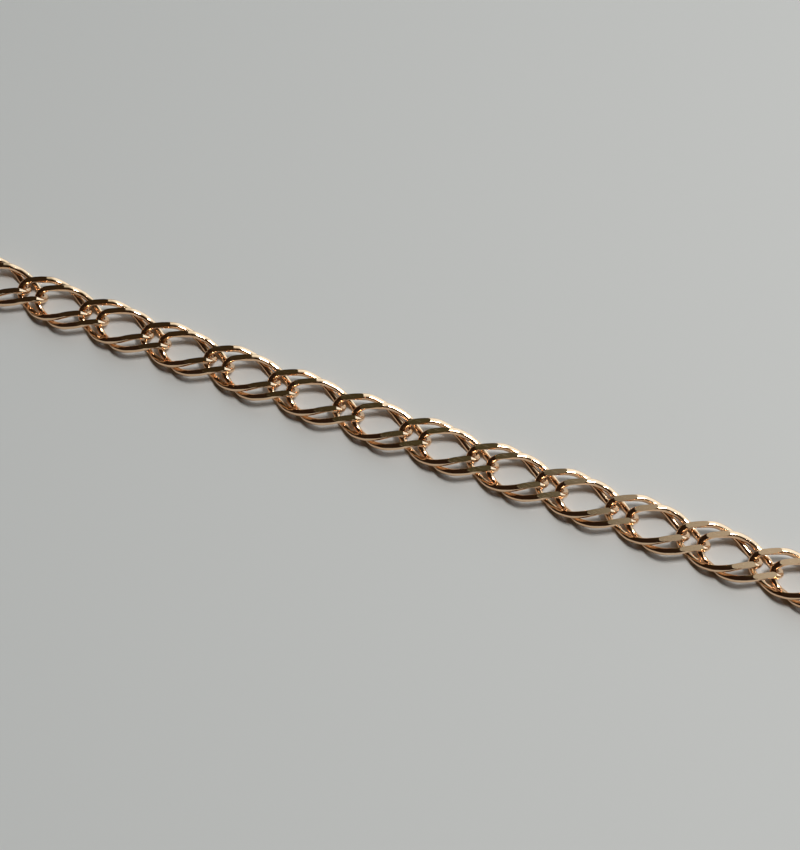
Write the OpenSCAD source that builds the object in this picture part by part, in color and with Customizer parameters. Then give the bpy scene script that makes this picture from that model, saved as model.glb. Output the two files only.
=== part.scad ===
// Pocket watch chain: a flat double curb chain laid straight along X on the plane z = 0,
// with a T-bar for the waistcoat at the -X end and a swivel hook for the watch at the +X end.
// Every link hooks into the two links on each side of it, and the links sit in close pairs.

/* [Chain] */
// Number of link pairs
pair_count = 22; // [6:1:24]
// Distance from one pair to the next
pair_pitch = 8; // [7.9:0.05:8.1]
// Distance between the two links of a pair
pair_gap = 2.4; // [2.3:0.05:2.5]
// Sideways step between the two links of a pair
side_step = 0.26; // [0.2:0.02:0.3]

/* [Link] */
// Diameter of the link wire
wire_d = 0.7; // [0.5:0.05:0.7]
// Overall length of one link
link_len = 9.54; // [9.5:0.02:9.6]
// Overall thickness of a link between its flat cuts
link_thick = 2; // [1.9:0.05:2]
// Bend radius of the wire at the two ends
end_r = 0.85; // [0.75:0.05:1]
// Bend radius of the wire at the two sides
side_r = 4; // [3.8:0.1:4.2]
// Angle between a straight side and the length of the chain
side_angle = 30.5; // [30:0.5:32]
// Height of the wire's centre over the middle plane, at its highest
weave = 0.98; // [0.95:0.01:0.99]
// Share of that height lost along a side, from where the wire starts to fall to its middle
droop = 0.74; // [0.6:0.02:0.76]

/* [Jump rings] */
// Diameter of the jump ring wire
ring_wire = 0.8; // [0.6:0.05:0.8]
// Radius of a jump ring, to the centre of its wire
ring_r = 1.7; // [1.6:0.05:1.8]

/* [T-bar] */
// Length of the bar
bar_len = 30; // [20:1:36]
// Diameter of the bar
bar_d = 3; // [2.9:0.1:3.2]

/* [Swivel hook] */
// Radius of the bow, to the centre of its wire
bow_r = 6.2; // [6:0.1:6.6]
// Diameter of the bow wire
bow_d = 2.2; // [2:0.1:2.2]
// Diameter of the swivel post
post_d = 1.2; // [1:0.1:1.2]
// Diameter of the gate pin
pin_d = 0.9; // [0.8:0.1:0.9]

/* [Hidden] */
$fn = 48;
link_count = 2 * pair_count;
rose_gold = [0.83, 0.56, 0.42];
pale_gold = [0.90, 0.68, 0.52];
steel = [0.75, 0.75, 0.77];

// Link wire: its centre line is a rhombus with round corners, woven up and down
wire_r = wire_d / 2;
half_len = (link_len - wire_d) / 2;
half_thick = link_thick / 2;
end_ramp = 1.9;
side_ramp = 1.4;
level_len = 1.8;
half_width = side_r + ((half_len - end_r) * sin(side_angle) + end_r - side_r) / cos(side_angle);
end_arc = end_r * (90 - side_angle) * PI / 180;
side_arc = side_r * side_angle * PI / 180;
end_tangent = [half_len - end_r + end_r * sin(side_angle), end_r * cos(side_angle)];
side_tangent = [side_r * sin(side_angle), half_width - side_r + side_r * cos(side_angle)];
straight = norm(side_tangent - end_tangent);
quarter = end_arc + straight + side_arc;
wire_sides = 8;
rings_per_quarter = 6;
ring_spacing_power = 1.25;
tangent_step = 0.02;
wire_rings = 4 * rings_per_quarter;

// Jump rings: how they lean and how far they reach from the last link's wire
ring_lean = 20;
ring_tip = 9.5;
ring_reach = 0.43;
ring_rise = 1.27;
lug_reach = 2;

// Lugs that the jump rings pass through, on the T-bar and on the swivel post
lug_r = 1.35;
lug_hole_r = 0.85;
lug_thick = 0.9;
lug_mid = (lug_r + lug_hole_r) / 2;
fitting_z = bar_d / 2;
bar_reach = 2.9;
shank_r = 0.8;
waist_r = 1.15;
waist_len = 3.2;

// Swivel: the post turns in the hook's rear wall, and its head sits in the open cage
running_gap = 0.05;
post_len = 3.9;
head_r = 1.1;
head_len = 0.7;
wall_start = 2.2;
wall_len = 1.7;
wall_r = 1.4;
cage_len = 1.6;
cage_w = 3;
neck_len = 1.4;
neck_w = 4.8;
neck_h = 2.2;
neck_end = wall_start + wall_len + cage_len + neck_len;
cut_past = 1;

// Bow and gate: angles are measured about the centre of the bow
bow_sink = 0.5;
bow_x = neck_end - bow_sink + bow_r;
hinge_angle = 150;
tip_angle = 80;
gate_gap = 0.1;
ear_r = 1.3;
ear_h = 2.6;
slot_h = 1.3;
slot_r = 1.5;
knuckle_r = 1.15;
gate_h = 1.2;
gate_w = 1.9;
gate_reach = 7.45;
gate_spare_angle = 15;
tab_angle = 104;
tab_r = 0.75;
pin_proud = 0.1;
hinge_x = bow_x + bow_r * cos(hinge_angle);
hinge_y = bow_r * sin(hinge_angle);
spring_thick = 0.2;
spring_gap = 0.03;
spring_from = 200;
spring_angle = 80;

// Places along the chain, with the whole object centred on x = 0
links_len = (pair_count - 1) * pair_pitch + pair_gap;
chain_end = half_len + lug_reach;
bar_side = chain_end + bar_reach + bar_d / 2;
hook_side = chain_end + bow_x + bow_r + bow_d / 2;
first_x = (bar_side - hook_side - links_len) / 2;
last_x = first_x + links_len;
bar_lug_x = first_x - chain_end;
hook_lug_x = last_x + chain_end;

function link_name(i) = str("link_", i < 10 ? "0" : "", i);
function is_first(i) = i % 2 == 1;
function link_x(i) = first_x + floor((i - 1) / 2) * pair_pitch + (is_first(i) ? 0 : pair_gap);
function link_y(i) = (is_first(i) ? 1 : -1) * side_step / 2;

// Rises smoothly from 0 to 1 over the given reach
function ramp(x, reach) = sin(90 * min(1, x / reach));

// A point of the first quarter of the outline, a length l from the link's end
function outline(l) =
    l < end_arc ? [
        half_len - end_r + end_r * cos(l / end_r * 180 / PI),
        end_r * sin(l / end_r * 180 / PI)
    ] :
    l < end_arc + straight ? end_tangent + (side_tangent - end_tangent) * (l - end_arc) / straight :
    let (turned = (quarter - l) / side_r * 180 / PI)
    [side_r * sin(turned), half_width - side_r + side_r * cos(turned)];

// Height of the wire's centre, a length l from the link's end
function weave_height(l) =
    let (fallen = droop * max(0, l - level_len) / (quarter - level_len))
    weave * ramp(l, end_ramp) * ramp(quarter - l, side_ramp) * (1 - fallen);

// The wire's centre, a length l along the whole closed curve
function wire_centre(l) =
    let (
        around = (l + 4 * quarter) % (4 * quarter),
        q = floor(around / quarter),
        along = around - q * quarter,
        from_end = q % 2 == 0 ? along : quarter - along,
        p = outline(from_end),
        x_sign = q == 0 || q == 3 ? 1 : -1,
        y_sign = q < 2 ? 1 : -1
    )
    [p.x * x_sign, p.y * y_sign, -weave_height(from_end) * x_sign * y_sign];

// Where ring k of the sweep stands: the rings crowd together towards the tight ends
function ring_place(k) =
    let (
        q = floor(k / rings_per_quarter),
        j = k % rings_per_quarter,
        share = q % 2 == 0 ? j : rings_per_quarter - j,
        from_end = quarter * pow(share / rings_per_quarter, ring_spacing_power)
    )
    q * quarter + (q % 2 == 0 ? from_end : quarter - from_end);

// One ring of points round the wire, with the flat cuts above and below
function wire_ring(k) =
    let (
        l = ring_place(k),
        c = wire_centre(l),
        chord = wire_centre(l + tangent_step) - wire_centre(l - tangent_step),
        t = chord / norm(chord),
        side = [t.y, -t.x, 0] / norm([t.x, t.y]),
        up = cross(side, t)
    )
    [for (j = [0:wire_sides - 1])
        let (
            a = 360 * (j + 0.5) / wire_sides,
            p = c + wire_r * (cos(a) * side + sin(a) * up)
        )
        [p.x, p.y, min(half_thick, max(-half_thick, p.z))]
    ];

module link_wire() {
    points = [for (k = [0:wire_rings - 1]) each wire_ring(k)];
    faces = [
        for (k = [0:wire_rings - 1], j = [0:wire_sides - 1])
            let (
                a = k * wire_sides + j,
                b = k * wire_sides + (j + 1) % wire_sides,
                c = ((k + 1) % wire_rings) * wire_sides + (j + 1) % wire_sides,
                d = ((k + 1) % wire_rings) * wire_sides + j
            )
            each [[a, b, c], [a, c, d]]
    ];
    polyhedron(points, faces);
}

module chain_link(i) {
    color(rose_gold)
    translate([link_x(i), link_y(i), half_thick])
    link_wire();
}

module torus(r, d) {
    rotate_extrude()
    translate([r, 0])
    circle(d = d);
}

// A jump ring that reaches away from the link, towards -X, and leans to clear the link's wire
module leaning_ring() {
    color(pale_gold)
    translate([-half_len - ring_reach, 0, ring_rise])
    rotate([0, ring_tip, 0])
    rotate([-ring_lean, 0, 0])
    torus(ring_r, ring_wire);
}

module bar_jump_ring() {
    translate([first_x, 0, 0])
    leaning_ring();
}

module hook_jump_ring() {
    translate([last_x, 0, 0])
    rotate([0, 0, 180])
    leaning_ring();
}

// An eye whose hole lies across the chain
module lug() {
    rotate([90, 0, 0])
    difference() {
        cylinder(r = lug_r, h = lug_thick, center = true);
        cylinder(r = lug_hole_r, h = 2 * lug_thick, center = true);
    }
}

module t_bar() {
    straight_len = bar_len - bar_d;
    arm_len = (straight_len - waist_len) / 2;
    shank_len = bar_reach - lug_mid;
    color(rose_gold)
    translate([bar_lug_x, 0, fitting_z]) {
        lug();
        translate([-bar_reach, 0, 0]) {
            rotate([90, 0, 0])
            cylinder(r = waist_r, h = straight_len, center = true);
            for (end = [-1, 1]) {
                translate([0, end * (waist_len + arm_len) / 2, 0])
                rotate([90, 0, 0])
                cylinder(d = bar_d, h = arm_len, center = true);
                translate([0, end * straight_len / 2, 0])
                sphere(d = bar_d);
            }
            rotate([0, 90, 0])
            cylinder(r = shank_r, h = shank_len);
        }
    }
}

module swivel_post() {
    color(pale_gold)
    translate([hook_lug_x, 0, fitting_z]) {
        lug();
        translate([lug_mid, 0, 0])
        rotate([0, 90, 0])
        cylinder(d = post_d, h = post_len - lug_mid + head_len);
        translate([post_len + running_gap, 0, 0])
        rotate([0, 90, 0])
        cylinder(r = head_r, h = head_len);
    }
}

// The part of the bow's circle between two angles
module bow_arc(from, to) {
    translate([bow_x, 0, 0])
    rotate([0, 0, from])
    rotate_extrude(angle = to - from)
    translate([bow_r, 0])
    circle(d = bow_d);
}

module neck() {
    difference() {
        union() {
            translate([wall_start, 0, 0])
            rotate([0, 90, 0])
            cylinder(r = wall_r, h = wall_len);
            translate([wall_start + wall_len / 2, -neck_w / 2, -neck_h / 2])
            cube([neck_end - wall_start - wall_len / 2, neck_w, neck_h]);
        }
        translate([wall_start - cut_past, 0, 0])
        rotate([0, 90, 0])
        cylinder(r = post_d / 2 + running_gap, h = wall_len + 2 * cut_past);
        translate([wall_start + wall_len, -cage_w / 2, -bar_d])
        cube([cage_len, cage_w, 2 * bar_d]);
    }
}

module hook_body() {
    color(rose_gold)
    translate([hook_lug_x, 0, fitting_z])
    difference() {
        union() {
            neck();
            bow_arc(hinge_angle, 360 + tip_angle);
            translate([hinge_x, hinge_y, 0])
            cylinder(r = ear_r, h = ear_h, center = true);
        }
        translate([hinge_x, hinge_y, 0]) {
            cylinder(r = slot_r, h = slot_h, center = true);
            cylinder(d = pin_d, h = 2 * ear_h, center = true);
        }
        gate_sweep(gate_reach + gate_gap);
    }
}

// The space about the hinge that the free end of the gate turns through
module gate_sweep(reach) {
    intersection() {
        translate([hinge_x, hinge_y, 0])
        cylinder(r = reach, h = 2 * ear_h, center = true);
        translate([bow_x, bow_r / 2, -ear_h])
        cube([bow_r, bow_r, 2 * ear_h]);
    }
}

module gate_bar() {
    translate([bow_x, 0, 0])
    rotate([0, 0, tip_angle - gate_spare_angle])
    rotate_extrude(angle = hinge_angle - tip_angle + gate_spare_angle)
    translate([bow_r, 0]) {
        square([gate_w - gate_h, gate_h], center = true);
        for (side = [-1, 1])
            translate([side * (gate_w - gate_h) / 2, 0])
            circle(d = gate_h);
    }
}

module hook_gate() {
    color(pale_gold)
    translate([hook_lug_x, 0, fitting_z])
    difference() {
        union() {
            intersection() {
                gate_bar();
                translate([hinge_x, hinge_y, 0])
                cylinder(r = gate_reach, h = 2 * gate_h, center = true);
            }
            translate([hinge_x, hinge_y, 0])
            cylinder(r = knuckle_r, h = gate_h, center = true);
            translate([bow_x, 0, 0])
            rotate([0, 0, tab_angle])
            translate([bow_r + gate_w / 2, 0, 0])
            cylinder(r = tab_r, h = gate_h, center = true);
        }
        translate([hinge_x, hinge_y, 0])
        cylinder(r = pin_d / 2 + running_gap, h = 2 * gate_h, center = true);
    }
}

module gate_pin() {
    color(steel)
    translate([hook_lug_x + hinge_x, hinge_y, fitting_z])
    cylinder(d = pin_d, h = ear_h + 2 * pin_proud, center = true);
}

// A leaf that lies in the bottom of the slot, behind the gate's knuckle
module gate_spring() {
    leaf_outer = slot_r - spring_gap;
    color(steel)
    translate([hook_lug_x + hinge_x, hinge_y, fitting_z])
    rotate([0, 0, spring_from])
    rotate_extrude(angle = spring_angle)
    translate([leaf_outer - spring_thick / 2, 0])
    square([spring_thick, gate_h], center = true);
}

t_bar();
bar_jump_ring();
for (i = [1:link_count])
    chain_link(i);
hook_jump_ring();
swivel_post();
hook_body();
hook_gate();
gate_pin();
gate_spring();
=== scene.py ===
import math

import bmesh
import bpy
from mathutils import Matrix, Vector


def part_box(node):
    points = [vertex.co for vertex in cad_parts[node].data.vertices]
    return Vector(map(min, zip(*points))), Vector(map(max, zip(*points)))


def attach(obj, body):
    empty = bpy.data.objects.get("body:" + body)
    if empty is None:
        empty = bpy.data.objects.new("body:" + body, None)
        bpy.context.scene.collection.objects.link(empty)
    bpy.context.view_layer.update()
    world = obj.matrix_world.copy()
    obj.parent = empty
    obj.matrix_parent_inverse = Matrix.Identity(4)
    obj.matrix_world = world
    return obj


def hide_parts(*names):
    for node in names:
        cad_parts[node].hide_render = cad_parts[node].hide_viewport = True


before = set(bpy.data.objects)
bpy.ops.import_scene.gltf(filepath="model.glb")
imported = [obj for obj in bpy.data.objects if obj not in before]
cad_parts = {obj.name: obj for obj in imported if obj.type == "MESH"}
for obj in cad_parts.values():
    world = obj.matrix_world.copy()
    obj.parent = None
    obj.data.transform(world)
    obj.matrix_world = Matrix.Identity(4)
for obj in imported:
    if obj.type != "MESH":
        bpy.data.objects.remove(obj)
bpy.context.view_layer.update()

MM = 0.001

# ---------------------------------------------------------------- sizes, in millimetres

# A link is one closed wire: a rhombus with round corners, woven up and down and cut flat above and below
WIRE_D = 0.7
LINK_LEN = 9.54
LINK_THICK = 2.0
END_R = 0.85
SIDE_R = 4.0
SIDE_ANGLE = math.radians(30.5)
WEAVE = 0.98
DROOP = 0.74
LEVEL_LEN = 1.8
END_RAMP = 1.9
SIDE_RAMP = 1.4
RINGS_PER_QUARTER = 28
RING_SPACING_POWER = 1.25

# The wire's section is nearly round at the link's ends and rolled fuller along its sides
WIRE_SIDES = 28
WIRE_HALF_H = 0.335
END_SQUARENESS = 0.86
SIDE_SQUARENESS = 0.68
SQUARE_FROM = 2.0
SQUARE_REACH = 1.2

# Jump rings: centre line radius, wire radius, how they tip and lean, and their soldered joint
RING_R = 1.7
RING_WIRE_R = 0.4
RING_TIP = math.radians(9.5)
RING_LEAN = math.radians(20)
SOLDER_ANGLE = math.radians(75)
SOLDER_SWELLING = 0.012
SOLDER_LINE_DEPTH = 0.03

# Eyes of the T-bar and of the swivel post
EYE_R = 1.1
EYE_HALF_WIDTH = 0.25
EYE_HALF_THICK = 0.45
EYE_SQUARENESS = 0.6
LUG_R = 1.35

# T-bar
BAR_LEN = 30
BAR_R = 1.5
BAR_REACH = 2.9
WAIST_R = 1.15
WAIST_HALF = 1.6
WAIST_COVE = 0.35
ARM_CHAMFER = 0.1
CUT_LINES_FROM_TIP = (4.2, 3.4)
SHANK_R = 0.8
FLARE = 0.37

# Swivel hook, measured from the middle of the swivel's eye
POST_R = 0.6
POST_LEN = 3.95
HEAD_R = 1.1
HEAD_LEN = 0.7
HEAD_RIM = 0.3
WALL_START = 2.2
WALL_LEN = 1.7
WALL_R = 1.4
WALL_ROUND = 0.22
TURNED_LINES = (0.45, 0.95)
CAGE_LEN = 1.6
CAGE_W = 3
NECK_END = 6.9
NECK_W = 4.8
NECK_H = 2.2
NECK_BEVEL = 0.32
WINDOW_BEVEL = 0.12
BOW_R = 6.2
BOW_WIRE_R = 1.1
BOW_X = NECK_END - 0.5 + BOW_R
BOW_TIP_ANGLE = math.radians(75.3)
BOW_TIP_ROUND = 0.7
BOW_THINNING = 0.14
BOW_THIN_FROM = 0.55
HINGE_ANGLE = math.radians(150)
HINGE = Vector((BOW_X + BOW_R * math.cos(HINGE_ANGLE), BOW_R * math.sin(HINGE_ANGLE), 0))
EAR_R = 1.3
EAR_H = 2.6
EAR_ROUND = 0.22
SLOT_R = 1.5
SLOT_H = 1.3
PIN_R = 0.45
PIN_PROUD = 0.1
PIN_DOME = 0.16
RUNNING_GAP = 0.05

# Gate: an oval bar on a knuckle, with a ribbed thumb tab
GATE_H = 1.2
GATE_W = 1.9
GATE_TIP_ANGLE = math.radians(76.4)
GATE_TIP_ROUND = 0.25
KNUCKLE_R = 1.15
TAB_ANGLE = math.radians(104)
TAB_R = 0.75
RIB_R = 0.12
RIB_PROUD = 0.15
RIB_TURN = 38

# Gate spring: a leaf in the bottom of the slot
LEAF_START = math.radians(200)
LEAF_SWEEP = math.radians(80)
LEAF_HALF_THICK = 0.08
LEAF_GAP = 0.13

# ---------------------------------------------------------------- shared shapes


def fuller(v, power):
    """A sine or cosine pushed outwards by a power under 1, which makes a round section squarer."""
    return math.copysign(abs(v) ** power, v)


def around(count, shift=0.0):
    """Angles of a whole turn in equal steps, the first one shifted by a share of a step."""
    return [2 * math.pi * (j + shift) / count for j in range(count)]


def quarter_turn(steps):
    """Angles from 0 to a right angle, both included."""
    return [math.pi / 2 * k / steps for k in range(steps + 1)]


def swept(sections, closed):
    """A solid through rings of points: a closed loop, or a rod with a flat face at each end."""
    bm = bmesh.new()
    rings = [[bm.verts.new(p) for p in ring] for ring in sections]
    following = rings[1:] + rings[:1] if closed else rings[1:]
    for a, b in zip(rings, following):
        for i in range(len(a)):
            j = (i + 1) % len(a)
            bm.faces.new((a[i], a[j], b[j], b[i]))
    if not closed:
        bm.faces.new(rings[0])
        bm.faces.new(rings[-1])
    return bm


# ---------------------------------------------------------------- the link's wire

half_len = (LINK_LEN - WIRE_D) / 2
half_width = SIDE_R + (
    (half_len - END_R) * math.sin(SIDE_ANGLE) + END_R - SIDE_R
) / math.cos(SIDE_ANGLE)
end_arc = END_R * (math.pi / 2 - SIDE_ANGLE)
side_arc = SIDE_R * SIDE_ANGLE
end_tangent = Vector((half_len - END_R + END_R * math.sin(SIDE_ANGLE), END_R * math.cos(SIDE_ANGLE)))
side_tangent = Vector((SIDE_R * math.sin(SIDE_ANGLE), half_width - SIDE_R + SIDE_R * math.cos(SIDE_ANGLE)))
straight = (side_tangent - end_tangent).length
quarter = end_arc + straight + side_arc


def ramp(x, reach):
    """Rises smoothly from 0 to 1 over the given reach."""
    return math.sin(math.pi / 2 * min(1.0, x / reach))


def outline(l):
    """A point of the first quarter of the outline, a length l from the link's end."""
    if l < end_arc:
        turned = l / END_R
        return Vector((half_len - END_R + END_R * math.cos(turned), END_R * math.sin(turned)))
    if l < end_arc + straight:
        return end_tangent.lerp(side_tangent, (l - end_arc) / straight)
    turned = (quarter - l) / SIDE_R
    return Vector((SIDE_R * math.sin(turned), half_width - SIDE_R + SIDE_R * math.cos(turned)))


def weave_height(l):
    """Height of the wire's centre, a length l from the link's end."""
    fallen = DROOP * max(0, l - LEVEL_LEN) / (quarter - LEVEL_LEN)
    return WEAVE * ramp(l, END_RAMP) * ramp(quarter - l, SIDE_RAMP) * (1 - fallen)


def wire_centre(l):
    """The wire's centre, a length l along the whole closed curve."""
    q, along = divmod(l % (4 * quarter), quarter)
    q = int(q)
    from_end = along if q % 2 == 0 else quarter - along
    x_sign = 1 if q in (0, 3) else -1
    y_sign = 1 if q < 2 else -1
    p = outline(from_end)
    return Vector((p.x * x_sign, p.y * y_sign, -weave_height(from_end) * x_sign * y_sign))


def ring_place(k):
    """Where ring k of the sweep stands: the rings crowd together towards the tight ends."""
    q, j = divmod(k, RINGS_PER_QUARTER)
    share = (j if q % 2 == 0 else RINGS_PER_QUARTER - j) / RINGS_PER_QUARTER
    from_end = quarter * share**RING_SPACING_POWER
    return q * quarter + (from_end if q % 2 == 0 else quarter - from_end)


def squareness(l):
    """The power of the wire's section, a length l along the whole closed curve."""
    from_end = min(l % (2 * quarter), -l % (2 * quarter))
    share = min(1.0, max(0.0, (from_end - SQUARE_FROM) / SQUARE_REACH))
    return END_SQUARENESS + (SIDE_SQUARENESS - END_SQUARENESS) * share


def wire_ring(l):
    """The ring of points around the wire, a length l along the whole closed curve."""
    centre = wire_centre(l)
    forward = (wire_centre(l + 0.01) - wire_centre(l - 0.01)).normalized()
    side = Vector((forward.y, -forward.x, 0)).normalized()
    up = side.cross(forward)
    power = squareness(l)
    return [
        centre
        + WIRE_D / 2 * fuller(math.cos(a), power) * side
        + WIRE_HALF_H * fuller(math.sin(a), power) * up
        for a in around(WIRE_SIDES, 0.5)
    ]


def cut_flat(bm, height, up):
    """Cuts off everything beyond a level plane and closes the cut with flat faces."""
    normal = Vector((0, 0, 1 if up else -1))
    everything = bm.verts[:] + bm.edges[:] + bm.faces[:]
    cut = bmesh.ops.bisect_plane(
        bm, geom=everything, dist=1e-6, plane_co=normal * height, plane_no=normal, clear_outer=True
    )
    edges = [e for e in cut["geom_cut"] if isinstance(e, bmesh.types.BMEdge)]
    made = bmesh.ops.holes_fill(bm, edges=edges, sides=0)["faces"]
    for f in made:
        f.material_index = 1
        f.smooth = False
        for e in f.edges:
            e.smooth = False


def link_mesh():
    """The mesh that all links share, in metres, about the link's centre."""
    bm = swept([wire_ring(ring_place(k)) for k in range(4 * RINGS_PER_QUARTER)], closed=True)
    bmesh.ops.recalc_face_normals(bm, faces=bm.faces[:])
    for f in bm.faces:
        f.smooth = True
    for up in (True, False):
        cut_flat(bm, LINK_THICK / 2, up)
    bmesh.ops.scale(bm, vec=(MM, MM, MM), verts=bm.verts[:])
    mesh = bpy.data.meshes.new("curb_link")
    bm.to_mesh(mesh)
    bm.free()
    return mesh


def links(wire_material, cut_material):
    """One piece for each link, in place of its CAD node."""
    mesh = link_mesh()
    mesh.materials.append(wire_material)
    mesh.materials.append(cut_material)
    names = [n for n in sorted(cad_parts) if n.startswith("link_")]
    for name in names:
        low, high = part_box(name)
        piece = bpy.data.objects.new("curb_" + name, mesh)
        bpy.context.scene.collection.objects.link(piece)
        piece.location = (low + high) / 2
        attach(piece, name)
        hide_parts(name)


# ---------------------------------------------------------------- solids for the fittings


def lathe(profile, sides=48):
    """A closed solid of revolution about the X axis, from (x, radius) pairs that start and end on it."""
    bm = bmesh.new()
    rings = []
    for x, r in profile:
        turns = around(sides) if r else [0]
        rings.append([bm.verts.new((x, r * math.cos(a), r * math.sin(a))) for a in turns])
    for a, b in zip(rings, rings[1:]):
        for i in range(sides):
            j = (i + 1) % sides
            corners = [a[i % len(a)], a[j % len(a)], b[j % len(b)], b[i % len(b)]]
            bm.faces.new(list(dict.fromkeys(corners)))
    return bm


def bow_tube(start, end, radius, height_share, steps, end_round):
    """A tube along the bow's circle, with its two ends rounded over the given lengths.

    The radius is a function of the share of the way from start to end.
    """
    blunt = 0.45
    length = BOW_R * abs(end - start)
    sections = []
    for k in range(steps + 1):
        share = (1 - math.cos(math.pi * k / steps)) / 2
        angle = start + (end - start) * share
        out = Vector((math.cos(angle), math.sin(angle), 0))
        r = radius(share)
        for reach, gone in zip(end_round, (share * length, (1 - share) * length)):
            if reach and gone < reach:
                r *= blunt + (1 - blunt) * math.sqrt(max(0.0, 1 - (1 - gone / reach) ** 2))
        centre = Vector((BOW_X, 0, 0)) + out * BOW_R
        sections.append([
            centre + out * (r * math.cos(a)) + Vector((0, 0, r * height_share * math.sin(a)))
            for a in around(24)
        ])
    return swept(sections, closed=False)


def eye():
    """An eye with softly rounded edges, whose hole lies along Y."""
    sections = []
    for a in around(56):
        ring = []
        for b in around(20):
            r = EYE_R + EYE_HALF_WIDTH * fuller(math.cos(b), EYE_SQUARENESS)
            y = EYE_HALF_THICK * fuller(math.sin(b), EYE_SQUARENESS)
            ring.append(Vector((r * math.cos(a), y, r * math.sin(a))))
        sections.append(ring)
    return swept(sections, closed=True)


def block(low, high, bevel):
    """A box between two corners, with rounded edges."""
    bm = bmesh.new()
    bmesh.ops.create_cube(bm, size=1)
    low, high = Vector(low), Vector(high)
    bmesh.ops.scale(bm, vec=high - low, verts=bm.verts[:])
    bmesh.ops.translate(bm, vec=(low + high) / 2, verts=bm.verts[:])
    bmesh.ops.bevel(bm, geom=bm.edges[:], offset=bevel, segments=4, affect="EDGES", profile=0.5)
    return bm


def upright(bm):
    """Turns a solid's X axis to point up."""
    bmesh.ops.transform(bm, matrix=Matrix.Rotation(math.radians(-90), 4, "Y"), verts=bm.verts[:])
    return bm


def crosswise(bm):
    """Turns a solid's X axis to point along Y."""
    bmesh.ops.transform(bm, matrix=Matrix.Rotation(math.radians(90), 4, "Z"), verts=bm.verts[:])
    return bm


def moved(bm, offset):
    """Shifts a solid and returns it."""
    bmesh.ops.translate(bm, vec=Vector(offset), verts=bm.verts[:])
    return bm


def plain_rod(r, length):
    """A rod centred on the origin, with sharp rims, for cutting holes."""
    return lathe([(-length / 2, 0), (-length / 2, r), (length / 2, r), (length / 2, 0)])


def softened_rod(r, length, round_r, steps=5):
    """A rod centred on the origin, with rounded rims."""
    rim = [
        (length / 2 - round_r * (1 - math.sin(a)), r - round_r * (1 - math.cos(a)))
        for a in quarter_turn(steps)
    ]
    half = rim + [(length / 2, 0)]
    return lathe([(-x, y) for x, y in reversed(half)] + half)


def groove(start, width, r, shoulder, depth):
    """Profile points of a shallow round groove, cut into a turned surface of radius r."""
    shares = ((0, 0), (0.25, shoulder), (0.5, depth), (0.75, shoulder), (1, 0))
    return [(start + width * share, r - cut) for share, cut in shares]


def solid(bm):
    """Makes an object of a solid, so that it can be combined with others."""
    bmesh.ops.recalc_face_normals(bm, faces=bm.faces[:])
    mesh = bpy.data.meshes.new("solid")
    bm.to_mesh(mesh)
    bm.free()
    obj = bpy.data.objects.new("solid", mesh)
    bpy.context.scene.collection.objects.link(obj)
    return obj


def combined(base, tools, operation):
    """Joins the tool solids to the base, or cuts them from it, and returns the base."""
    for tool in tools:
        step = base.modifiers.new("combine", "BOOLEAN")
        step.operation = operation
        step.solver = "EXACT"
        step.object = tool
    bpy.context.view_layer.update()
    graph = bpy.context.evaluated_depsgraph_get()
    mesh = bpy.data.meshes.new_from_object(base.evaluated_get(graph))
    base.modifiers.clear()
    base.data = mesh
    for tool in tools:
        bpy.data.objects.remove(tool)
    return base


def fitting(name, obj, origin, node, body, material, sharp=32):
    """Finishes a fitting's solid, puts it at its origin, gives it its body and material, and hides the CAD
    node that it replaces.
    """
    obj.name = name
    mesh = obj.data
    mesh.name = name
    mesh.transform(Matrix.Translation(origin * MM) @ Matrix.Scale(MM, 4))
    mesh.materials.clear()
    mesh.materials.append(material)
    for face in mesh.polygons:
        face.use_smooth = True
        face.material_index = 0
    mesh.set_sharp_from_angle(angle=math.radians(sharp))
    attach(obj, body)
    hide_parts(node)


# ---------------------------------------------------------------- fittings


def arm_profile(side):
    """Half of the bar, from its middle out: a waist, a cove, the arm with two cut lines, a domed end."""
    half = BAR_LEN / 2
    profile = [(0.0, WAIST_R)]
    for a in quarter_turn(6)[1:]:
        x = WAIST_HALF - WAIST_COVE + WAIST_COVE * math.sin(a)
        profile.append((x, WAIST_R + (BAR_R - ARM_CHAMFER - WAIST_R) * (1 - math.cos(a))))
    profile.append((WAIST_HALF + 0.12, BAR_R))
    for from_tip in CUT_LINES_FROM_TIP:
        profile += groove(half - from_tip, 0.4, BAR_R, 0.09, 0.12)
    profile += [(half - BAR_R + BAR_R * math.sin(a), BAR_R * math.cos(a)) for a in quarter_turn(12)[:-1]]
    profile.append((half, 0))
    return [(side * x, r) for x, r in profile]


def t_bar(material):
    """The bar across the chain, and the eye on a short shank that flares into the bar's waist."""
    low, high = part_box("t_bar")
    origin = Vector((high.x / MM - LUG_R, 0, (low.z + high.z) / 2 / MM))
    whole = list(reversed(arm_profile(-1)))[:-1] + arm_profile(1)
    bar = solid(moved(crosswise(lathe(whole, 64)), (-BAR_REACH, 0, 0)))
    neck_r = SHANK_R - 0.12
    flare = [(-BAR_REACH, 0), (-BAR_REACH, neck_r + FLARE)]
    for a in quarter_turn(8):
        x = -BAR_REACH + WAIST_R - 0.1 + 0.45 * math.sin(a)
        flare.append((x, neck_r + FLARE * (1 - math.sin(a))))
    flare += [(-EYE_R - EYE_HALF_WIDTH, neck_r), (-EYE_R, SHANK_R - 0.2), (-EYE_R + 0.05, 0)]
    combined(bar, [solid(lathe(flare)), solid(eye())], "UNION")
    fitting("t_bar_with_eye", bar, origin, "t_bar", "bar", material)


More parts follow.
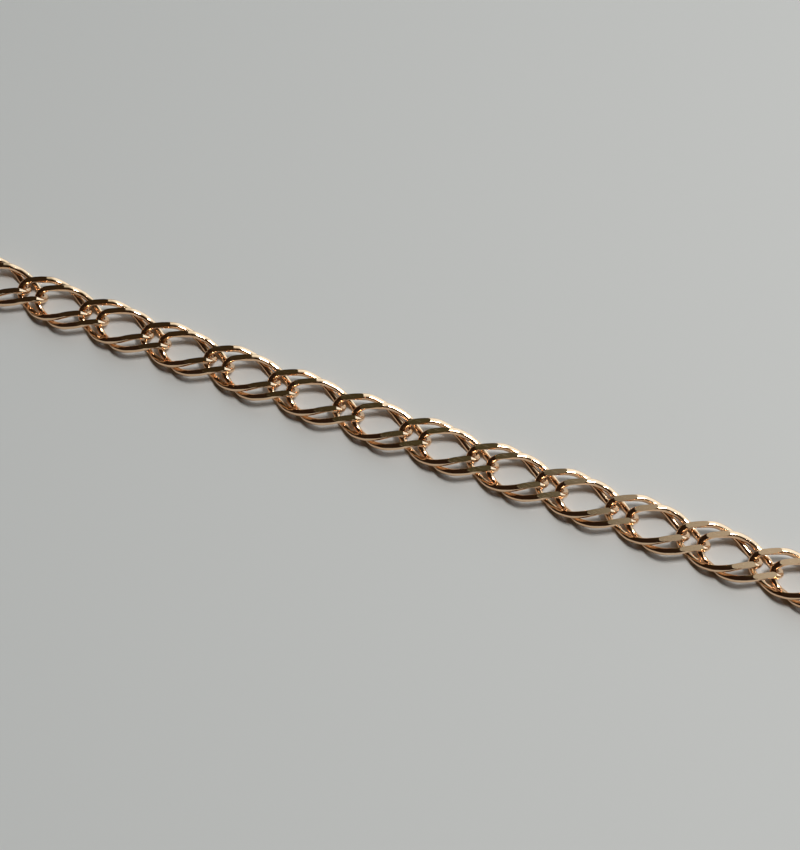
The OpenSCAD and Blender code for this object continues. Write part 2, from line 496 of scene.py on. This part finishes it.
def jump_ring(node, body, turned, material):
    """A round wire ring with the fine line and the slight swelling of its soldered joint."""
    low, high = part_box(node)
    place = Matrix.Translation((low + high) / 2 / MM)
    if turned:
        place @= Matrix.Rotation(math.pi, 4, "Z")
    place @= Matrix.Rotation(RING_TIP, 4, "Y") @ Matrix.Rotation(-RING_LEAN, 4, "X")
    sections = []
    for angle in around(120):
        from_joint = (angle - SOLDER_ANGLE + math.pi) % (2 * math.pi) - math.pi
        line = SOLDER_LINE_DEPTH * math.exp(-((from_joint / 0.03) ** 2))
        swelling = SOLDER_SWELLING * math.exp(-((from_joint / 0.16) ** 2))
        r = RING_WIRE_R - SOLDER_SWELLING + swelling - line
        out = Vector((math.cos(angle), math.sin(angle), 0))
        sections.append([
            out * (RING_R + r * math.cos(a)) + Vector((0, 0, r * math.sin(a))) for a in around(28)
        ])
    bm = swept(sections, closed=True)
    bmesh.ops.transform(bm, matrix=place, verts=bm.verts[:])
    fitting(node + "_soldered", solid(bm), Vector(), node, body, material, sharp=60)


def swivel_origin():
    """The middle of the swivel's eye."""
    low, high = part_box("swivel_post")
    return Vector((low.x / MM + LUG_R, 0, (low.z + high.z) / 2 / MM))


def swivel_post(origin, material):
    """An eye on a turned post, with a collar under the eye and a riveted head inside the cage."""
    shank_r = POST_R - 0.02
    profile = [(EYE_R - 0.05, 0), (EYE_R, 0.62), (EYE_R + 0.28, 0.62)]
    profile += [(1.45, 0.78), (1.62, 0.86), (1.8, 0.86), (1.95, 0.78), (2.05, shank_r)]
    profile += [(POST_LEN, shank_r), (POST_LEN, HEAD_R - 0.1), (POST_LEN + 0.08, HEAD_R)]
    for a in quarter_turn(8)[:-1]:
        x = POST_LEN + HEAD_RIM + (HEAD_LEN - HEAD_RIM) * math.sin(a)
        profile.append((x, HEAD_R * math.cos(a)))
    profile.append((POST_LEN + HEAD_LEN, 0))
    post = combined(solid(eye()), [solid(lathe(profile))], "UNION")
    fitting("swivel_eye_post", post, origin, "swivel_post", "swivel", material)


def neck_profile():
    """The neck's round wall, with a rounded rim and two turned lines."""
    r = WALL_R
    rim_r = r - WALL_ROUND
    profile = [(WALL_START, 0), (WALL_START, rim_r)]
    for a in (0.4, 0.8, 1.2, 1.57):
        profile.append((WALL_START + WALL_ROUND * (1 - math.cos(a)), rim_r + WALL_ROUND * math.sin(a)))
    for start in TURNED_LINES:
        profile += groove(WALL_START + start, 0.36, r, 0.1, 0.13)
    wall_end = WALL_START + WALL_LEN
    return profile + [(wall_end - 0.1, r), (wall_end, r - 0.12), (wall_end, 0)]


def bow_radius(share):
    """The bow's wire, which thins a little towards its free tip."""
    return BOW_WIRE_R - BOW_THINNING * max(0.0, (share - BOW_THIN_FROM) / (1 - BOW_THIN_FROM))


def hook_body(origin, material):
    """The neck with its open cage, the bow, and the two ears that hold the gate's pin."""
    body = solid(lathe(neck_profile()))
    cage = block(
        (WALL_START + WALL_LEN / 2, -NECK_W / 2, -NECK_H / 2),
        (NECK_END, NECK_W / 2, NECK_H / 2),
        NECK_BEVEL,
    )
    bow = bow_tube(HINGE_ANGLE, 2 * math.pi + BOW_TIP_ANGLE, bow_radius, 1.0, 110, (0.0, BOW_TIP_ROUND))
    ears = moved(upright(softened_rod(EAR_R, EAR_H, EAR_ROUND)), HINGE)
    combined(body, [solid(cage), solid(bow), solid(ears)], "UNION")
    hole = moved(plain_rod(POST_R + RUNNING_GAP, WALL_LEN + 2), (WALL_START + WALL_LEN / 2, 0, 0))
    window = block(
        (WALL_START + WALL_LEN, -CAGE_W / 2, -NECK_H),
        (WALL_START + WALL_LEN + CAGE_LEN, CAGE_W / 2, NECK_H),
        WINDOW_BEVEL,
    )
    slot = moved(upright(plain_rod(SLOT_R, SLOT_H)), HINGE)
    pin_hole = moved(upright(plain_rod(PIN_R, 2 * EAR_H)), HINGE)
    combined(body, [solid(b) for b in (hole, window, slot, pin_hole)], "DIFFERENCE")
    fitting("swivel_hook", body, origin, "hook_body", "hook", material)


def hook_gate(origin, material):
    """The sprung gate: an oval bar with a knuckle, and a thumb tab with three ribs.

    The bar, tab and ribs are each a little lower than the knuckle, so that no two tops share a plane.
    """
    bar = bow_tube(
        GATE_TIP_ANGLE,
        HINGE_ANGLE,
        lambda share: GATE_W / 2,
        (GATE_H - 0.05) / GATE_W,
        48,
        (GATE_TIP_ROUND, 0.0),
    )
    knuckle = moved(upright(softened_rod(KNUCKLE_R, GATE_H, 0.12)), HINGE)
    out = Vector((math.cos(TAB_ANGLE), math.sin(TAB_ANGLE), 0))
    tab_centre = Vector((BOW_X, 0, 0)) + out * (BOW_R + GATE_W / 2)
    tab = moved(upright(softened_rod(TAB_R - RIB_PROUD, GATE_H - 0.12, 0.2)), tab_centre)
    ribs = []
    for turn in (-RIB_TURN, 0, RIB_TURN):
        a = TAB_ANGLE + math.radians(turn)
        rib = upright(softened_rod(RIB_R, GATE_H - 0.34, 0.08, 3))
        ribs.append(moved(rib, tab_centre + Vector((math.cos(a), math.sin(a), 0)) * (TAB_R - RIB_R)))
    gate = combined(solid(bar), [solid(b) for b in (knuckle, tab, *ribs)], "UNION")
    pin_hole = moved(upright(plain_rod(PIN_R + RUNNING_GAP, 2 * GATE_H)), HINGE)
    combined(gate, [solid(pin_hole)], "DIFFERENCE")
    fitting("sprung_gate", gate, origin, "hook_gate", "gate", material)


def gate_pin(origin, material):
    """A pin with both ends riveted into low domes."""
    half = EAR_H / 2 + PIN_PROUD
    dome = [
        (half - PIN_DOME + PIN_DOME * math.sin(a), PIN_R * (0.25 + 0.75 * math.cos(a)))
        for a in quarter_turn(6)
    ]
    ends = dome + [(half, 0)]
    pin = moved(upright(lathe([(-x, r) for x, r in reversed(ends)] + ends)), HINGE)
    fitting("gate_rivet", solid(pin), origin, "gate_pin", "hook", material)


def gate_spring(origin, material):
    """A bent leaf of flat steel with rounded edges, in the bottom of the slot."""
    steps = 30
    sections = []
    for k in range(steps + 1):
        a = LEAF_START + LEAF_SWEEP * k / steps
        out = Vector((math.cos(a), math.sin(a), 0))
        half_height = GATE_H / 2 * min(1.0, 0.55 + 4 * min(k, steps - k) / steps)
        ring = []
        for b in around(16, 0.5):
            u = LEAF_HALF_THICK * fuller(math.cos(b), 0.5)
            v = half_height * fuller(math.sin(b), 0.35)
            ring.append(HINGE + out * (SLOT_R - LEAF_GAP + u) + Vector((0, 0, v)))
        sections.append(ring)
    leaf = solid(swept(sections, closed=False))
    fitting("gate_leaf_spring", leaf, origin, "gate_spring", "hook", material, sharp=50)


# ---------------------------------------------------------------- materials

# How many noise cells to a metre: the colour drift, the smears, and the tool lines and wear scratches
# along and across their own direction
DRIFT_SCALE = 420
SMEAR_SCALE = 900
LINE_SCALES = (250, 9000)
SCRATCH_SCALES = (500, 14000)
SCRATCH_TURN = (0.3, 0.2, 0.9)


def noise(nodes, wires, vector, scale, detail=2.0, rough=0.5):
    node = nodes.new("ShaderNodeTexNoise")
    node.inputs["Scale"].default_value = scale
    node.inputs["Detail"].default_value = detail
    node.inputs["Roughness"].default_value = rough
    wires.new(vector, node.inputs["Vector"])
    return node.outputs["Fac"]


def stretched_noise(nodes, wires, vector, axis, scales, turn):
    """Noise drawn out along one axis, for lines and scratches."""
    along, across = scales
    mapping = nodes.new("ShaderNodeMapping")
    mapping.inputs["Rotation"].default_value = turn
    mapping.inputs["Scale"].default_value = [along if i == axis else across for i in range(3)]
    wires.new(vector, mapping.inputs["Vector"])
    return noise(nodes, wires, mapping.outputs["Vector"], 1.0)


def ramp_value(nodes, wires, value, low, high, to_low, to_high):
    node = nodes.new("ShaderNodeMapRange")
    for name, v in (("From Min", low), ("From Max", high), ("To Min", to_low), ("To Max", to_high)):
        node.inputs[name].default_value = v
    wires.new(value, node.inputs["Value"])
    return node.outputs["Result"]


def bump(nodes, wires, height, depth, inward):
    """Relief of the given depth in metres."""
    node = nodes.new("ShaderNodeBump")
    node.invert = inward
    node.inputs["Strength"].default_value = 1
    node.inputs["Distance"].default_value = depth
    wires.new(height, node.inputs["Height"])
    return node


def metal(name, color, shade, roughness, line_axis, line_depth, scratch_depth):
    """A polished metal: slow colour drift, soft smears, lines left by the tool, and fine wear scratches.

    The lines run along line_axis. The two depths are in metres.
    """
    mat = bpy.data.materials.new(name)
    mat.use_nodes = True
    nodes, wires = mat.node_tree.nodes, mat.node_tree.links
    shader = nodes["Principled BSDF"]
    shader.inputs["Metallic"].default_value = 1
    place = nodes.new("ShaderNodeTexCoord").outputs["Object"]

    drift = noise(nodes, wires, place, DRIFT_SCALE, 3.0)
    tint = nodes.new("ShaderNodeMix")
    tint.data_type = "RGBA"
    tint.inputs["A"].default_value = (*shade, 1)
    tint.inputs["B"].default_value = (*color, 1)
    wires.new(ramp_value(nodes, wires, drift, 0.32, 0.62, 0.0, 1.0), tint.inputs["Factor"])
    wires.new(tint.outputs["Result"], shader.inputs["Base Color"])

    smear = noise(nodes, wires, place, SMEAR_SCALE, 4.0, 0.6)
    smeared = ramp_value(nodes, wires, smear, 0.35, 0.7, roughness * 0.7, roughness * 1.5)
    wires.new(smeared, shader.inputs["Roughness"])

    lines = stretched_noise(nodes, wires, place, line_axis, LINE_SCALES, (0, 0, 0))
    scratches = stretched_noise(nodes, wires, place, 0, SCRATCH_SCALES, SCRATCH_TURN)
    fine = ramp_value(nodes, wires, scratches, 0.66, 0.74, 0.0, 1.0)
    tooled = bump(nodes, wires, lines, line_depth, False)
    worn = bump(nodes, wires, fine, scratch_depth, True)
    wires.new(tooled.outputs["Normal"], worn.inputs["Normal"])
    wires.new(worn.outputs["Normal"], shader.inputs["Normal"])
    return mat


# ---------------------------------------------------------------- stage

# The camera: the point that it looks at in millimetres, and where it stands as seen from there
CAMERA_TARGET = (-9.85, 0.72, 1.0)
CAMERA_AZIMUTH = math.radians(23.449)
CAMERA_ELEVATION = math.radians(59)
CAMERA_DISTANCE = 0.187
CAMERA_LENS = 72

FLOOR_HALF = 20
FLOOR_COLOR = (0.67, 0.66, 0.63)
FLOOR_ROUGHNESS = 0.8

# The window: where it is, and the light at growing angles away from its middle
WINDOW_AZIMUTH = math.radians(25)
WINDOW_ELEVATION = math.radians(20)
WINDOW_STRENGTH = 1.4
WINDOW_STEPS = (
    (180, (0.020, 0.012, 0.008)),
    (68, (0.020, 0.012, 0.008)),
    (58, (0.030, 0.022, 0.012)),
    (50, (0.060, 0.062, 0.036)),
    (44, (0.44, 0.47, 0.45)),
    (38, (0.95, 1.05, 1.08)),
    (28, (1.05, 1.24, 1.40)),
)

KEY_POWER = 2.2
KEY_DISTANCE = 0.6
KEY_SIZE = 0.16
KEY_TOWARD = (0.45, 0.25, 0.86)


def camera():
    """At the photograph's viewing angle: high up, a little to the right of the chain's front."""
    back = Vector((
        math.sin(CAMERA_AZIMUTH) * math.cos(CAMERA_ELEVATION),
        -math.cos(CAMERA_AZIMUTH) * math.cos(CAMERA_ELEVATION),
        math.sin(CAMERA_ELEVATION),
    ))
    data = bpy.data.cameras.new("camera")
    data.lens = CAMERA_LENS
    data.clip_start = 0.01
    cam = bpy.data.objects.new("camera", data)
    bpy.context.scene.collection.objects.link(cam)
    cam.location = Vector(CAMERA_TARGET) * MM + back * CAMERA_DISTANCE
    cam.rotation_mode = "QUATERNION"
    cam.rotation_quaternion = (-back).to_track_quat("-Z", "Y")
    bpy.context.scene.camera = cam


def floor():
    """A plain pale floor under the chain."""
    mesh = bpy.data.meshes.new("floor")
    r = FLOOR_HALF
    mesh.from_pydata([(-r, -r, 0), (r, -r, 0), (r, r, 0), (-r, r, 0)], [], [(0, 1, 2, 3)])
    obj = bpy.data.objects.new("floor", mesh)
    bpy.context.scene.collection.objects.link(obj)
    mat = bpy.data.materials.new("pale_floor")
    mat.use_nodes = True
    shader = mat.node_tree.nodes["Principled BSDF"]
    shader.inputs["Base Color"].default_value = (*FLOOR_COLOR, 1)
    shader.inputs["Roughness"].default_value = FLOOR_ROUGHNESS
    mesh.materials.append(mat)


def surroundings():
    """A dim room with one big soft window, low behind the chain and to its right."""
    world = bpy.data.worlds.new("surroundings")
    world.use_nodes = True
    bpy.context.scene.world = world
    nodes, wires = world.node_tree.nodes, world.node_tree.links
    direction = nodes.new("ShaderNodeTexCoord")
    toward = nodes.new("ShaderNodeVectorMath")
    toward.operation = "DOT_PRODUCT"
    toward.inputs[1].default_value = (
        math.sin(WINDOW_AZIMUTH) * math.cos(WINDOW_ELEVATION),
        math.cos(WINDOW_AZIMUTH) * math.cos(WINDOW_ELEVATION),
        math.sin(WINDOW_ELEVATION),
    )
    wires.new(direction.outputs["Generated"], toward.inputs[0])
    glow = nodes.new("ShaderNodeValToRGB")
    glow.color_ramp.interpolation = "EASE"
    ramp_steps = glow.color_ramp.elements
    while len(ramp_steps) < len(WINDOW_STEPS):
        ramp_steps.new(0.5)
    for step, (angle, color) in zip(ramp_steps, WINDOW_STEPS):
        step.position = (math.cos(math.radians(angle)) + 1) / 2
        step.color = (*(c / WINDOW_STRENGTH for c in color), 1)
    half = nodes.new("ShaderNodeMath")
    half.operation = "MULTIPLY_ADD"
    half.inputs[1].default_value = 0.5
    half.inputs[2].default_value = 0.5
    wires.new(toward.outputs["Value"], half.inputs[0])
    wires.new(half.outputs["Value"], glow.inputs["Fac"])
    wires.new(glow.outputs["Color"], nodes["Background"].inputs["Color"])
    nodes["Background"].inputs["Strength"].default_value = WINDOW_STRENGTH


def key_light():
    """A small soft light high above, for the floor's brightness and the glints on the round wire."""
    data = bpy.data.lights.new("key", "AREA")
    data.shape = "DISK"
    data.size = KEY_SIZE
    data.energy = KEY_POWER
    toward = Vector(KEY_TOWARD).normalized()
    obj = bpy.data.objects.new("key", data)
    obj.location = toward * KEY_DISTANCE
    obj.rotation_mode = "QUATERNION"
    obj.rotation_quaternion = toward.to_track_quat("Z", "Y")
    bpy.context.scene.collection.objects.link(obj)


# ---------------------------------------------------------------- everything in its place

wire_gold = metal("polished_link_gold", (0.94, 0.66, 0.43), (0.90, 0.60, 0.37), 0.10, 0, 2e-6, 2e-6)
cut_gold = metal("cut_link_gold", (0.93, 0.64, 0.42), (0.90, 0.60, 0.38), 0.07, 1, 1e-6, 2e-6)
cast_gold = metal("polished_rose_gold", (0.93, 0.65, 0.43), (0.88, 0.57, 0.36), 0.11, 1, 1e-6, 1e-6)
pale_gold = metal("pale_ring_gold", (0.94, 0.69, 0.50), (0.90, 0.62, 0.42), 0.10, 0, 2e-6, 3e-6)
steel = metal("spring_steel", (0.78, 0.78, 0.80), (0.66, 0.67, 0.69), 0.18, 0, 4e-6, 3e-6)

links(wire_gold, cut_gold)
t_bar(cast_gold)
jump_ring("bar_jump_ring", "bar_ring", False, pale_gold)
jump_ring("hook_jump_ring", "hook_ring", True, pale_gold)
swivel = swivel_origin()
swivel_post(swivel, pale_gold)
hook_body(swivel, cast_gold)
hook_gate(swivel, cast_gold)
gate_pin(swivel, steel)
gate_spring(swivel, steel)

camera()
floor()
surroundings()
key_light()
bpy.context.scene.view_settings.view_transform = "Standard"
